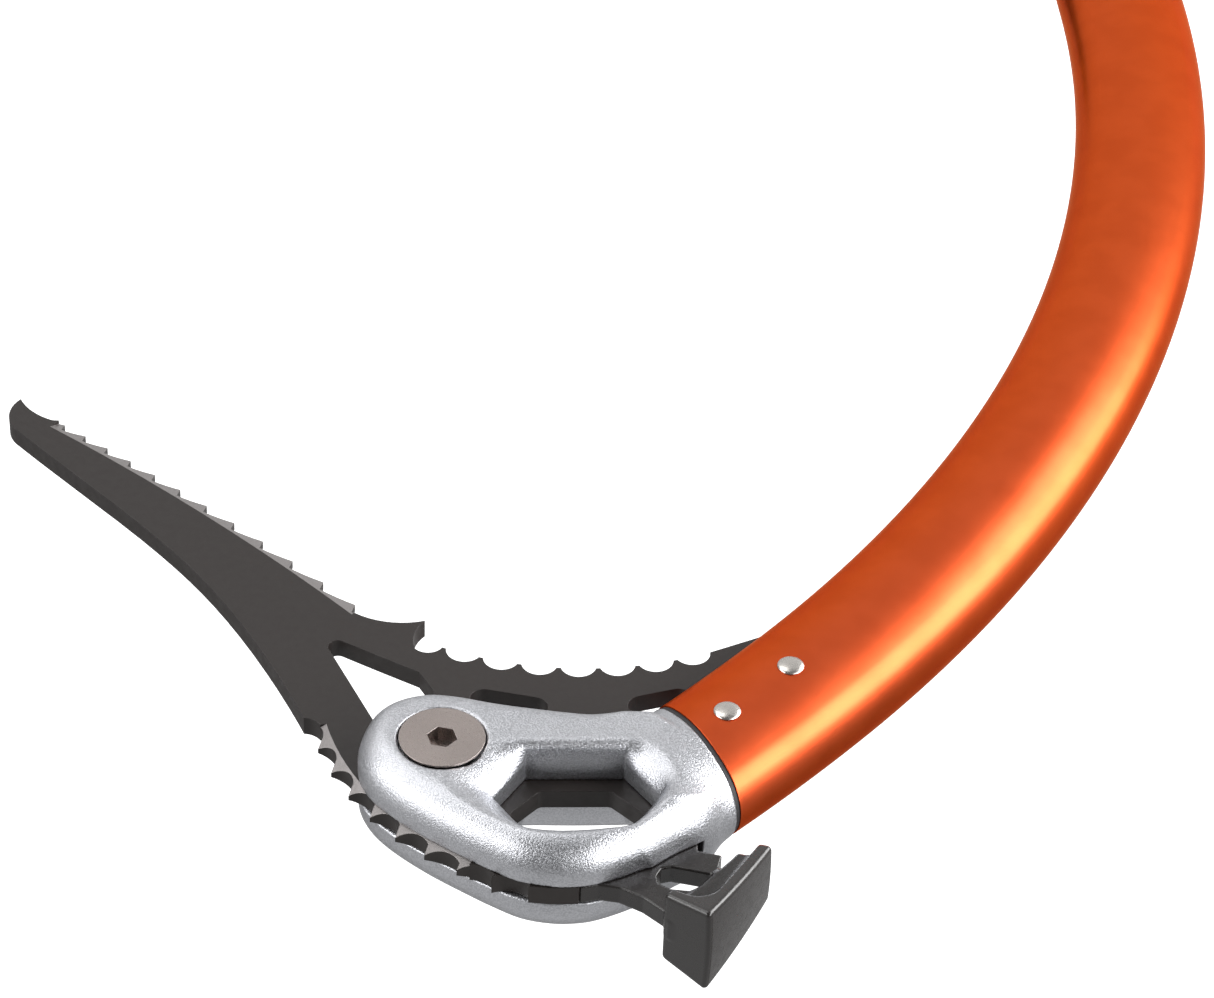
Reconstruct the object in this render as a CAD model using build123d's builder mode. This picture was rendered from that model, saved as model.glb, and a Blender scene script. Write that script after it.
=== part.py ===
from build123d import *
import os
from math import asin, atan2, cos, degrees, hypot, pi, radians, sin, sqrt

# Technical ice axe, in millimetres. +Z runs from the spike up to the head, +X towards the pick, Y across.
# The origin is the centre of the tether eye in the spike. The head is laid out from the pick bolt's axis,
# and everything below the grip from the end of the shaft tube.

os.makedirs("parts", exist_ok=True)

# ---- Shaft: a curved oval tube ----
shaft_width = 29.5  # in the plane of the axe
shaft_thickness = 20.0  # across it
shaft_edge_radius = 8.6
shaft_wall = 1.8
neck_heading = 237.9  # where the shaft points as it leaves the head, in degrees up from +X
upper_bend_radius, upper_bend_turn = 458.0, 4.0
lower_bend_radius, lower_bend_turn = 350.0, 44.1
handle_length = 145.0  # straight tube below the bends
eye_below_tube = 11.0

# ---- Head: one forging with a slot for the pick and a plug that fills the top of the tube ----
ferrule_from_bolt = (-45.07, -14.58)
joint_tilt = 14.2  # the joint with the shaft is cut this much off square
cheek_half = 11.0
boss_centre, boss_radius = (1.2, 0.2), 14.3
slot_clearance = 0.1
neck_solid = 10.0  # from the joint to the slot's rear
neck_length = 17.0
plug_length = 36.0
plug_clearance = 0.08
gasket_thickness = 1.0
gasket_margin = 0.1
gasket_setback = 0.25

# ---- Window through the head for a karabiner, laid out from the middle of its sill ----
window_sill = (-24.3, -4.25)
window_tilt = 14.9
window_sill_half, window_side_half, window_top_half = 9.2, 15.3, 9.0
window_side_height, window_height = 9.2, 19.5
plate_window_inset = 3.0
window_edge_radius = 2.0

# ---- Pick and hammer: plates that share the slot ----
plate_thickness = 4.0
seam_top, seam_foot = (-31.4, 23.3), (-43.6, 1.2)
seam_gap = 0.12
lug_centre = (-36.2, 14.2)
hub_radius = 12.8
lug_radius = 2.6
pick_crest_root, pick_crest_tip, pick_crest_sag = (28.8, -43.8), (101.4, -83.6), 1.6
pick_teeth = 12
pick_tooth_depth_root, pick_tooth_depth_tip = 3.4, 2.7
pick_pitch_step = 0.35  # each pitch is this much shorter than the one before it
pick_bevel_height, pick_bevel_land = 3.3, 0.8
crown_centre, crown_radius = (-27.4, -35.2), 61.5
crown_teeth = 9
crown_first_angle, crown_pitch_angle = 32.6, 6.61
crown_tooth_depths = (2.6, 2.6, 2.6, 2.6, 2.5, 2.1, 1.3, 0.8, 0.5)
crown_fade = (0, 0, 0, 0, 0, 0.1, 0.3, 0.6, 0.9)
crown_bevel_height, crown_bevel_land = 2.9, 0.5
crown_hollow = 1.3  # how far a tooth's back bows in
arm_centre, arm_radius = (-2.9, -97.1), 63.7
arm_first_angle, arm_pitch_angle = 10.3, 6.81
arm_scallops = 7
scallop_depth = 2.45
scallop_land_angle = 0.36
shaft_side_gap = 0.4
face_top, face_foot = (-57.1, 32.0), (-63.9, 8.4)
face_top_half, face_foot_half = 9.7, 6.7
block_front_top, block_front_foot = (-47.2, 26.9), (-57.6, 7.6)
block_front_top_half, block_front_foot_half = 6.1, 3.6

# ---- Pick bolt and its barrel nut ----
bolt_head_radius = 8.0
bolt_radius = 3.95
bolt_end = 6.8
barrel_radius = 5.0
barrel_end = -1.9
fit_clearance = 0.05
head_rim = 0.4
socket_across_flats = 5.0
socket_depth = 3.0
nut_socket_depth = 2.4

# ---- Rivets ----
head_rivet_stations = (8.0, 26.1)  # along the shaft from the joint
rivet_radius = 2.0
rivet_head_radius = 2.6
rivet_head_height = 0.8

# ---- Handle, measured up the tube from its lower end ----
grip_foot, grip_top = 15.0, 99.0
grip_wall = 3.2
grip_clearance = 0.05
grip_bands = 10
grip_groove_depth, grip_groove_width = 1.1, 2.4
grip_end_radius = 1.2
collar_height = 5.0
collar_wall = 2.4
rest_height = 17.0
rest_wall = 4.0
rest_reach = 26.0
rest_floor = 3.0
rest_half_width = 11.0
rest_bar = 8.5  # top of the rest beside the tube
wing_edge_radius = 1.6
screw_radius, screw_head_radius = 1.5, 2.8
screw_station = 8.0
end_plug_length = 30.0
spike_thickness = 5.0
spike_length = 31.0  # below the tube
spike_half_width = 11.0
spike_tang_half_width, spike_tang_length = 7.0, 24.0
eye_radius = 5.5
spike_rivet_stations = (3.6, 19.0)

# ---- Trigger that slides on the straight tube ----
trigger_gap = 0.6  # above the grip's collar at rest
trigger_height = 16.0
trigger_wall = 3.0
trigger_half_width = 6.5
trigger_reach = 26.0
trigger_rise = 26.0
trigger_hook_thickness = 6.0
trigger_bed = 9.0  # where the finger rests, above the hook's foot
liner_wall = 1.4
slide_clearance = 0.3
ear_reach, ear_half, ear_slit = 9.0, 7.0, 1.6
clamp_screw_radius, clamp_head_radius, clamp_head_height = 2.0, 3.5, 3.0
clamp_nut_flats, clamp_nut_height = 7.0, 3.2


def along(length, angle):
    """A vector in the plane of the axe, at an angle up from +X."""
    return Vector(length * cos(radians(angle)), 0, length * sin(radians(angle)))


def bend_step(heading, radius, turn):
    """How far an arc carries the shaft's axis."""
    return along(radius, heading + turn - 90) - along(radius, heading - 90)


def oval(width, thickness, edge_radius):
    """An oval of two flat arcs and two edge arcs, tangent to each other."""
    half, rise = width / 2 - edge_radius, thickness / 2 - edge_radius
    crown = (half**2 - rise**2) / (2 * rise)
    with Locations((0, -crown)):
        Circle(thickness / 2 + crown)
    with Locations((0, crown)):
        Circle(thickness / 2 + crown, mode=Mode.INTERSECT)
    fillet(vertices(), edge_radius)


def shaft_oval(grow):
    """The shaft's outline, grown outwards by one distance all round."""
    oval(shaft_width + 2 * grow, shaft_thickness + 2 * grow, shaft_edge_radius + grow)


def turned(centre, radius, angle):
    """A point on a circle, at an angle from +X."""
    return (centre[0] + radius * cos(radians(angle)), centre[1] + radius * sin(radians(angle)))


# ---- Where the parts of the frame lie ----
handle_heading = neck_heading + upper_bend_turn + lower_bend_turn
up_handle = along(-1, handle_heading)
tube_end = up_handle * eye_below_tube
upper_step = bend_step(neck_heading, upper_bend_radius, upper_bend_turn)
lower_step = bend_step(neck_heading + upper_bend_turn, lower_bend_radius, lower_bend_turn)
ferrule = tube_end + up_handle * handle_length - upper_step - lower_step
bolt_axis = ferrule - Vector(ferrule_from_bolt[0], 0, ferrule_from_bolt[1])

head_plane = Plane(origin=bolt_axis, x_dir=(1, 0, 0), z_dir=(0, -1, 0))
joint_normal = along(1, neck_heading - joint_tilt)
joint_plane = Plane(origin=ferrule, x_dir=(0, 1, 0), z_dir=joint_normal)
handle_side = Plane(origin=tube_end, x_dir=along(1, handle_heading - 270), z_dir=(0, -1, 0))
handle_foot = Plane(origin=tube_end, x_dir=along(1, handle_heading - 270), z_dir=up_handle)
window_plane = Plane(
    origin=bolt_axis + Vector(window_sill[0], 0, window_sill[1]),
    x_dir=along(1, window_tilt),
    z_dir=(0, -1, 0),
)

# The shaft's axis starts inside the head, so that pieces can be cut back to the joint
neck_start = ferrule - along(neck_length, neck_heading)
neck_section = Plane(origin=neck_start, x_dir=along(1, neck_heading + 90), z_dir=along(1, neck_heading))
with BuildLine(Plane.XZ) as shaft_axis:
    neck_run = Line(neck_start, ferrule)
    upper_bend = JernArc(ferrule, along(1, neck_heading), upper_bend_radius, upper_bend_turn)
    lower_bend = JernArc(upper_bend @ 1, upper_bend % 1, lower_bend_radius, lower_bend_turn)
    handle_run = Line(lower_bend @ 1, tube_end)

plug_turn = degrees(plug_length / upper_bend_radius)
with BuildLine(Plane.XZ) as plug_axis:
    Line(neck_start, ferrule)
    JernArc(ferrule, along(1, neck_heading), upper_bend_radius, plug_turn)


def station(distance):
    """A point on the shaft's axis, at a distance down from the joint, within the upper bend."""
    return ferrule + bend_step(neck_heading, upper_bend_radius, degrees(distance / upper_bend_radius))


def rivet_hole(centre):
    """A hole for a rivet, straight across the axe."""
    with BuildSketch(Plane(origin=centre, x_dir=(1, 0, 0), z_dir=(0, -1, 0))) as hole:
        Circle(rivet_radius + fit_clearance)
    extrude(hole.sketch, amount=shaft_thickness, both=True, mode=Mode.SUBTRACT)


def across(centre, outline, mode=Mode.ADD):
    """Turn an outline of (radius, y) points about an axis across the axe."""
    with BuildSketch(Plane(origin=centre, x_dir=(1, 0, 0), z_dir=(0, 0, 1))) as half:
        Polygon(*outline, align=None)
    revolve(half.sketch, axis=Axis(centre, (0, 1, 0)), mode=mode)


def rivet(centre):
    """A rivet with two low round heads, seated on the tube's flat sides."""
    seat = shaft_thickness / 2
    crown = seat + rivet_head_height
    across(
        centre,
        [
            (0, -crown),
            (rivet_head_radius * 0.55, -crown + 0.12),
            (rivet_head_radius * 0.88, -crown + 0.42),
            (rivet_head_radius, -seat),
            (rivet_radius, -seat),
            (rivet_radius, seat),
            (rivet_head_radius, seat),
            (rivet_head_radius * 0.88, crown - 0.42),
            (rivet_head_radius * 0.55, crown - 0.12),
            (0, crown),
        ],
    )


handle_rivets = [tube_end + up_handle * height for height in spike_rivet_stations]
head_rivets = [station(distance) for distance in head_rivet_stations]

# ---- Shaft tube ----
with BuildPart() as shaft:
    with BuildSketch(neck_section):
        shaft_oval(0)
    sweep(path=shaft_axis.line)
    with BuildSketch(neck_section):
        shaft_oval(-shaft_wall)
    sweep(path=shaft_axis.line, mode=Mode.SUBTRACT)
    split(bisect_by=joint_plane.offset(gasket_thickness / 2), keep=Keep.TOP)
    for centre in head_rivets + handle_rivets:
        rivet_hole(centre)
    with BuildSketch(Plane(origin=tube_end + up_handle * screw_station, x_dir=up_handle, z_dir=(0, -1, 0))):
        Circle(screw_radius + fit_clearance)
    extrude(amount=shaft_thickness, both=True, mode=Mode.SUBTRACT)

# ---- Gasket between the head and the tube ----
with BuildPart() as head_gasket:
    with BuildSketch(neck_section):
        shaft_oval(-gasket_setback)
    extrude(amount=2 * neck_length)
    with BuildSketch(neck_section):
        shaft_oval(-shaft_wall + gasket_margin)
    extrude(amount=2 * neck_length, mode=Mode.SUBTRACT)
    split(bisect_by=joint_plane.offset(-gasket_thickness / 2), keep=Keep.TOP)
    split(bisect_by=joint_plane.offset(gasket_thickness / 2), keep=Keep.BOTTOM)

# ---- Head ----
crown_start = turned(boss_centre, boss_radius, 48)
boss_foot = turned(boss_centre, boss_radius, -95)
cheek_rear_top, cheek_rear_foot = (-51.2, 1.0), (-35.2, -18.2)
with BuildPart() as cheeks:
    with BuildSketch(head_plane):
        with BuildLine():
            ThreePointArc(boss_foot, turned(boss_centre, boss_radius, -20), crown_start)
            Spline(
                crown_start,
                (-8.3, 20.5),
                (-23.0, 24.8),
                (-36.0, 20.6),
                cheek_rear_top,
                tangents=[(-sin(radians(48)), cos(radians(48))), (-0.55, -0.83)],
            )
            Line(cheek_rear_top, cheek_rear_foot)
            Spline(cheek_rear_foot, (-26.5, -15.7), boss_foot, tangents=[(0.9, 0.44), (1, -0.08)])
        make_face()
    extrude(amount=cheek_half, both=True)
    fillet(cheeks.edges().filter_by(Axis.Y).group_by(Axis.X)[0], 5)
    fillet(cheeks.edges().filter_by(Axis.Y).group_by(Axis.Z)[0], 4)
    fillet(cheeks.faces().filter_by(Axis.Y).edges(), 4)


def window_outline(inset):
    """The six-sided window, with its sill and sides moved inwards."""
    sill, side, top = inset, window_side_height + inset * 0.07, window_height - inset
    Polygon(
        (-window_sill_half + inset * 0.87, sill),
        (window_sill_half - inset * 0.87, sill),
        (window_side_half - inset * 0.85, side),
        (window_top_half - inset * 0.8, top),
        (-window_top_half + inset * 0.8, top),
        (-window_side_half + inset * 0.85, side),
        align=None,
    )
    fillet(vertices(), 1.6)


slot_half = plate_thickness / 2 + slot_clearance
slot_rear = joint_plane.offset(-neck_solid)
with BuildPart() as slot_form:
    with BuildSketch(head_plane):
        with Locations((-10, 0)):
            Rectangle(100, 80)
    extrude(amount=slot_half, both=True)
    split(bisect_by=slot_rear, keep=Keep.BOTTOM)

with BuildPart() as head:
    with BuildSketch(neck_section):
        shaft_oval(0)
    extrude(amount=2 * neck_length)
    split(bisect_by=joint_plane.offset(-gasket_thickness / 2), keep=Keep.BOTTOM)
    add(cheeks.part)
    with BuildSketch(window_plane):
        window_outline(0)
    extrude(amount=2 * cheek_half, both=True, mode=Mode.SUBTRACT)
    for side in (-1, 1):
        with BuildSketch(window_plane.offset(side * cheek_half)):
            window_outline(-window_edge_radius)
        extrude(amount=-side * 2 * window_edge_radius, taper=45, mode=Mode.SUBTRACT)
    add(slot_form.part, mode=Mode.SUBTRACT)
    cone_near = cheek_half - head_rim - (bolt_head_radius - bolt_radius)
    cone_far = cheek_half - head_rim - (bolt_head_radius - barrel_radius)
    across(
        bolt_axis,
        [
            (0, -cheek_half - 1),
            (bolt_head_radius + 0.15, -cheek_half - 1),
            (bolt_head_radius + 0.15, -cheek_half + head_rim),
            (bolt_radius + 0.15, -cone_near),
            (bolt_radius + 0.15, 0),
            (barrel_radius + fit_clearance, 0),
            (barrel_radius + fit_clearance, cone_far - 0.1),
            (bolt_head_radius + 0.15, cheek_half - head_rim),
            (bolt_head_radius + 0.15, cheek_half + 1),
            (0, cheek_half + 1),
        ],
        mode=Mode.SUBTRACT,
    )
    with BuildSketch(neck_section):
        shaft_oval(-shaft_wall - plug_clearance)
    sweep(path=plug_axis.line)
    add(slot_form.part, mode=Mode.SUBTRACT)
    for centre in head_rivets:
        rivet_hole(centre)

# ---- Bolt and barrel nut ----
with BuildPart() as pick_bolt:
    across(
        bolt_axis,
        [
            (0, -cheek_half),
            (bolt_head_radius, -cheek_half),
            (bolt_head_radius, -cheek_half + head_rim),
            (bolt_radius, -cone_near),
            (bolt_radius, bolt_end),
            (0, bolt_end),
        ],
    )
    with BuildSketch(head_plane.offset(cheek_half)):
        RegularPolygon(socket_across_flats / 2, 6, major_radius=False)
    extrude(amount=-socket_depth, mode=Mode.SUBTRACT)

with BuildPart() as pick_nut:
    across(
        bolt_axis,
        [
            (bolt_radius + fit_clearance, barrel_end),
            (barrel_radius, barrel_end),
            (barrel_radius, cone_far),
            (bolt_head_radius, cheek_half - head_rim),
            (bolt_head_radius, cheek_half),
            (0, cheek_half),
            (0, bolt_end + 0.4),
            (bolt_radius + fit_clearance, bolt_end + 0.4),
        ],
    )
    with BuildSketch(head_plane.offset(-cheek_half)):
        RegularPolygon(socket_across_flats / 2, 6, major_radius=False)
    extrude(amount=nut_socket_depth, mode=Mode.SUBTRACT)

# ---- Pick ----
chord = (pick_crest_tip[0] - pick_crest_root[0], pick_crest_tip[1] - pick_crest_root[1])
chord_length = hypot(*chord)
edge_radius = (chord_length**2 / 4 + pick_crest_sag**2) / (2 * pick_crest_sag)
edge_turn = degrees(2 * asin(chord_length / 2 / edge_radius))
edge_normal = (-chord[1] / chord_length, chord[0] / chord_length)
edge_centre = tuple(
    (pick_crest_root[i] + pick_crest_tip[i]) / 2 + edge_normal[i] * (edge_radius - pick_crest_sag)
    for i in (0, 1)
)
edge_first_angle = degrees(atan2(pick_crest_root[1] - edge_centre[1], pick_crest_root[0] - edge_centre[0]))
gaps = pick_teeth - 1
mean_pitch = radians(edge_turn) * edge_radius / gaps
first_pitch = mean_pitch + pick_pitch_step * (gaps - 1) / 2


def pick_crest(index):
    """The point of one tooth under the pick, counted from the hook."""
    run = first_pitch * index - pick_pitch_step * index * (index - 1) / 2
    return turned(edge_centre, edge_radius, edge_first_angle + degrees(run / edge_radius))


def pick_root(index):
    """The notch above a tooth's steep face."""
    share = index / gaps
    depth = pick_tooth_depth_root * (1 - share) + pick_tooth_depth_tip * share
    crest = pick_crest(index)
    return (crest[0] - 0.2, crest[1] + depth)


def crown_crest(index):
    """The point of one tooth over the head, counted from the pick."""
    angle = crown_first_angle + crown_pitch_angle * index
    return turned(crown_centre, crown_radius - crown_fade[index], angle)


def crown_root(index):
    """The notch in front of a tooth over the head."""
    crest = crown_crest(index)
    return (crest[0] - 0.25, crest[1] - crown_tooth_depths[index])


def hollow(start, end, sag):
    """The middle point of a shallow arc that bows into the plate, to the left of the line walked."""
    length = hypot(end[0] - start[0], end[1] - start[1])
    side = (-(end[1] - start[1]) / length, (end[0] - start[0]) / length)
    return ((start[0] + end[0]) / 2 + side[0] * sag, (start[1] + end[1]) / 2 + side[1] * sag)


def arm_point(angle, radius):
    """A point of the lower arm, at an angle from straight up."""
    return turned(arm_centre, radius, 90 - angle)


def bevel(centre, radius, first_angle, turn, height, land):
    """Grind both sides of a curved edge down to a narrow land."""
    hub = bolt_axis + Vector(centre[0], 0, centre[1])
    side_face, slope = plate_thickness / 2, (plate_thickness / 2 - land) / height
    for side in (-1, 1):
        ground = Plane(origin=hub, x_dir=along(1, first_angle), z_dir=along(1, first_angle + 90))
        with BuildSketch(ground) as wedge:
            Polygon(
                (radius - height, side * side_face),
                (radius - height, side * (side_face + 1)),
                (radius + 1.2, side * (side_face + 1)),
                (radius + 1.2, side * (land - slope * 1.2)),
                align=None,
            )
        revolve(wedge.sketch, axis=Axis(hub, (0, -1, 0)), revolution_arc=turn, mode=Mode.SUBTRACT)


# What the plates stay clear of: the shaft, and the neck behind the slot
with BuildPart() as shaft_keepout:
    with BuildSketch(neck_section):
        shaft_oval(shaft_side_gap)
    sweep(path=shaft_axis.line)
    split(bisect_by=slot_rear.offset(-seam_gap), keep=Keep.TOP)

pick_tip, pick_nose, pick_brow = (112.4, -88.2), (113.0, -82.6), (110.3, -78.5)
spine_start = (28.9, -8.2)
hook_tip, hook_root = (14.1, -41.3), (13.9, -32.9)
arm_end = (-52.0, -55.0)
with BuildPart() as pick:
    with BuildSketch(head_plane) as pick_outline:
        with BuildLine():
            ThreePointArc(pick_tip, pick_nose, pick_brow)
            Spline(pick_brow, (89.8, -64.7), (60.1, -43.0), (42.0, -24.6), spine_start)
            last = spine_start
            for index in range(crown_teeth):
                root, crest = crown_root(index), crown_crest(index)
                ThreePointArc(last, hollow(last, root, crown_hollow), root)
                Line(root, crest)
                last = crest
            Polyline(last, (-26.4, 24.7), seam_top, seam_foot, (-48, 0.8), (-50, -14), (-58, -50), arm_end)
            arm_last = arm_first_angle - arm_pitch_angle * arm_scallops
            Line(arm_end, arm_point(arm_last - scallop_land_angle, arm_radius))
            for index in range(arm_scallops, 0, -1):
                angle = arm_first_angle - arm_pitch_angle * index
                left = arm_point(angle + scallop_land_angle, arm_radius)
                middle = arm_point(angle + arm_pitch_angle / 2, arm_radius + scallop_depth)
                right = arm_point(angle + arm_pitch_angle - scallop_land_angle, arm_radius)
                Line(arm_point(angle - scallop_land_angle, arm_radius), left)
                ThreePointArc(left, middle, right)
            last = arm_point(arm_first_angle + scallop_land_angle, arm_radius)
            Line(arm_point(arm_first_angle - scallop_land_angle, arm_radius), last)
            ThreePointArc(last, (11.2, -32.3), hook_root)
            ThreePointArc(hook_root, (15.1, -37.0), hook_tip)
            ThreePointArc(hook_tip, (21.5, -39.1), pick_root(0))
            for index in range(pick_teeth):
                Line(pick_root(index), pick_crest(index))
                if index < gaps:
                    start, end = pick_crest(index), pick_root(index + 1)
                    ThreePointArc(start, hollow(start, end, 0.25), end)
            brow_foot = (103.8, -83.1)
            Line(pick_crest(gaps), brow_foot)
            ThreePointArc(brow_foot, (108.6, -84.8), pick_tip)
        make_face()
    extrude(amount=plate_thickness / 2, both=True)
    ground_from, ground_turn = edge_first_angle - 0.3, edge_turn + 0.4
    bevel(edge_centre, edge_radius, ground_from, ground_turn, pick_bevel_height, pick_bevel_land)
    bevel(crown_centre, crown_radius, 28.0, 46.0, crown_bevel_height, crown_bevel_land)
    with BuildSketch(window_plane):
        window_outline(plate_window_inset)
    extrude(amount=plate_thickness, both=True, mode=Mode.SUBTRACT)
    with BuildSketch(head_plane):
        Circle(barrel_radius + fit_clearance)
        with BuildLine():
            hub_top, hub_foot = turned((0, 0), hub_radius, -24), turned((0, 0), hub_radius, -72)
            Line(hub_top, (29.6, -28.3))
            ThreePointArc((29.6, -28.3), (29.9, -30.6), (27.8, -31.4))
            Spline((27.8, -31.4), (20.4, -29.1), (11.3, -26.4))
            Polyline((11.3, -26.4), (7.1, -21.6), hub_foot)
            ThreePointArc(hub_foot, turned((0, 0), hub_radius, -48), hub_top)
        make_face()
        with Locations((-7.3, -22.2)):
            SlotOverall(15, 5.4, rotation=1)
        with Locations((-35.2, -29.5)):
            SlotOverall(13, 6, rotation=31)
    extrude(amount=plate_thickness, both=True, mode=Mode.SUBTRACT)
    # a lug of the hammer locks into the pick at the seam
    with BuildSketch(head_plane):
        with Locations(lug_centre):
            Circle(lug_radius + seam_gap)
    extrude(amount=plate_thickness, both=True, mode=Mode.SUBTRACT)
    add(shaft_keepout.part, mode=Mode.SUBTRACT)

# ---- Hammer: a web that shares the slot, and a block with the striking face ----
with BuildPart() as hammer:
    with BuildSketch(head_plane):
        with BuildLine():
            shift = seam_gap
            Line((seam_foot[0] - shift, seam_foot[1]), (seam_top[0] - shift, seam_top[1]))
            Spline((seam_top[0] - shift, seam_top[1]), (-38.6, 21.2), (-47.4, 25.2))
            Polyline(
                (-47.4, 25.2),
                block_front_top,
                (-55.0, 28.6),
                (-61.0, 10.0),
                (-57.6, 7.6),
                (-56.8, 12.0),
            )
            Spline((-56.8, 12.0), (-53.6, 17.4), (-47.6, 19.3))
            ThreePointArc((-47.6, 19.3), (-44.3, 16.6), (-46.4, 13.7))
            Polyline(
                (-46.4, 13.7),
                (-54.7, 13.7),
                (-54.7, 8.5),
                (-50.2, 8.3),
                (-49.6, 5.6),
                (-50.5, 0.0),
                (-48.0, seam_foot[1]),
                (seam_foot[0] - shift, seam_foot[1]),
            )
        make_face()
        with Locations(lug_centre):
            Circle(lug_radius)
    extrude(amount=plate_thickness / 2, both=True)
    add(shaft_keepout.part, mode=Mode.SUBTRACT)
    for top, foot, top_half, foot_half in (
        (block_front_top, block_front_foot, block_front_top_half, block_front_foot_half),
        (face_top, face_foot, face_top_half, face_foot_half),
    ):
        corner = bolt_axis + Vector(foot[0], 0, foot[1])
        rise = Vector(top[0] - foot[0], 0, top[1] - foot[1])
        section = Plane(origin=corner, x_dir=(0, 1, 0), z_dir=Vector(0, 1, 0).cross(rise.normalized()))
        with BuildSketch(section):
            Polygon(
                (-foot_half, 0),
                (foot_half, 0),
                (top_half, rise.length),
                (-top_half, rise.length),
                align=None,
            )
            fillet(vertices(), 1.6)
    loft()

# ---- Rivets through the tube ----
for number, centre in enumerate(head_rivets, 1):
    with BuildPart() as head_rivet:
        rivet(centre)
    head_rivet.part.label = f"head_rivet_{number}"
    export_step(head_rivet.part, f"parts/head_rivet_{number}.step")

pin_end = shaft_thickness / 2 - fit_clearance
for number, centre in enumerate(handle_rivets, 1):
    with BuildPart() as spike_rivet:
        across(centre, [(0, -pin_end), (rivet_radius, -pin_end), (rivet_radius, pin_end), (0, pin_end)])
    spike_rivet.part.label = f"spike_rivet_{number}"
    export_step(spike_rivet.part, f"parts/spike_rivet_{number}.step")


def handle_plane(height):
    """A plane across the handle, at a height above the tube's end."""
    return Plane(origin=tube_end + up_handle * height, x_dir=handle_foot.x_dir, z_dir=up_handle)


def end_faces(builder):
    """The lowest and the highest flat face of a piece on the handle."""
    ordered = builder.faces().sort_by(Axis(tube_end, up_handle))
    return ShapeList([ordered[0], ordered[-1]])


# ---- Grip ----
grip_band = (grip_top - grip_foot + grip_groove_width) / grip_bands - grip_groove_width
with BuildPart() as grip:
    with BuildSketch(handle_plane(grip_foot)):
        shaft_oval(grip_wall - grip_groove_depth)
    extrude(amount=grip_top - grip_foot)
    for index in range(grip_bands):
        with BuildSketch(handle_plane(grip_foot + index * (grip_band + grip_groove_width))):
            shaft_oval(grip_wall)
        extrude(amount=grip_band)
    fillet(end_faces(grip).edges(), grip_end_radius)
    with BuildSketch(handle_plane(grip_foot)):
        shaft_oval(grip_clearance)
    extrude(amount=grip_top - grip_foot, mode=Mode.SUBTRACT)

with BuildPart() as grip_collar:
    with BuildSketch(handle_plane(grip_top)):
        shaft_oval(collar_wall)
    extrude(amount=collar_height)
    fillet(end_faces(grip_collar)[-1].edges(), 1.2)
    with BuildSketch(handle_plane(grip_top)):
        shaft_oval(fit_clearance)
    extrude(amount=collar_height, mode=Mode.SUBTRACT)

# ---- Hand rest around the foot of the tube ----
rest_face = shaft_thickness / 2 + rest_wall
rest_front = shaft_width / 2
with BuildPart() as rest_wing:
    with BuildSketch(handle_side):
        with BuildLine():
            Polyline(
                (rest_front - 4, rest_bar),
                (rest_front - 4, -rest_floor + 1),
                (rest_front + 6, -rest_floor + 1),
            )
            TangentArc((rest_front + 6, -rest_floor + 1), (rest_front + rest_reach, rest_height), tangent=(1, 0))
            inside_top = (rest_front + rest_reach - 5, rest_height + 1)
            Line((rest_front + rest_reach, rest_height), inside_top)
            ThreePointArc(inside_top, (rest_front + 14.5, rest_bar + 1.7), (rest_front + 4, rest_bar))
            Line((rest_front + 4, rest_bar), (rest_front - 4, rest_bar))
        make_face()
    extrude(amount=rest_half_width, both=True)
    fillet(rest_wing.faces().sort_by(Axis.Y)[0].edges(), wing_edge_radius)
    fillet(rest_wing.faces().sort_by(Axis.Y)[-1].edges(), wing_edge_radius)

with BuildPart() as hand_rest:
    with BuildSketch(handle_plane(-rest_floor)):
        shaft_oval(rest_wall)
    extrude(amount=grip_foot + rest_floor - 0.3)
    fillet(end_faces(hand_rest).edges(), 1.5)
    add(rest_wing.part)
    with BuildSketch(handle_plane(0)):
        shaft_oval(fit_clearance)
    extrude(amount=grip_foot, mode=Mode.SUBTRACT)
    with BuildSketch(handle_plane(-rest_floor)):
        Rectangle(2 * spike_half_width + 0.2, spike_thickness + 0.2)
    extrude(amount=rest_floor, mode=Mode.SUBTRACT)
    for side in (-1, 1):
        with BuildSketch(handle_side.offset(side * shaft_thickness)) as bore:
            with Locations((0, screw_station)):
                Circle(screw_radius + fit_clearance)
        extrude(amount=-side * shaft_thickness, mode=Mode.SUBTRACT)
        with BuildSketch(handle_side.offset(side * (rest_face + 1))):
            with Locations((0, screw_station)):
                Circle(screw_head_radius + 0.1)
        extrude(amount=-side * 3.0, mode=Mode.SUBTRACT)

for side, name in ((-1, "hand_rest_screw_left"), (1, "hand_rest_screw_right")):
    head_top = rest_face - 0.4
    with BuildPart() as rest_screw:
        across(
            tube_end + up_handle * screw_station,
            [
                (0, side * head_top),
                (screw_head_radius - 0.3, side * head_top),
                (screw_head_radius, side * (head_top - 0.3)),
                (screw_head_radius, side * (rest_face - 2.0)),
                (screw_radius, side * (rest_face - 2.0)),
                (screw_radius, side * (shaft_thickness / 2 - 6)),
                (0, side * (shaft_thickness / 2 - 6)),
            ],
        )
        with BuildSketch(handle_side.offset(-side * head_top)):
            with Locations((0, screw_station)):
                RegularPolygon(1.25, 6, major_radius=False)
        extrude(amount=side * 1.3, mode=Mode.SUBTRACT)
    rest_screw.part.label = name
    export_step(rest_screw.part, f"parts/{name}.step")

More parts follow.
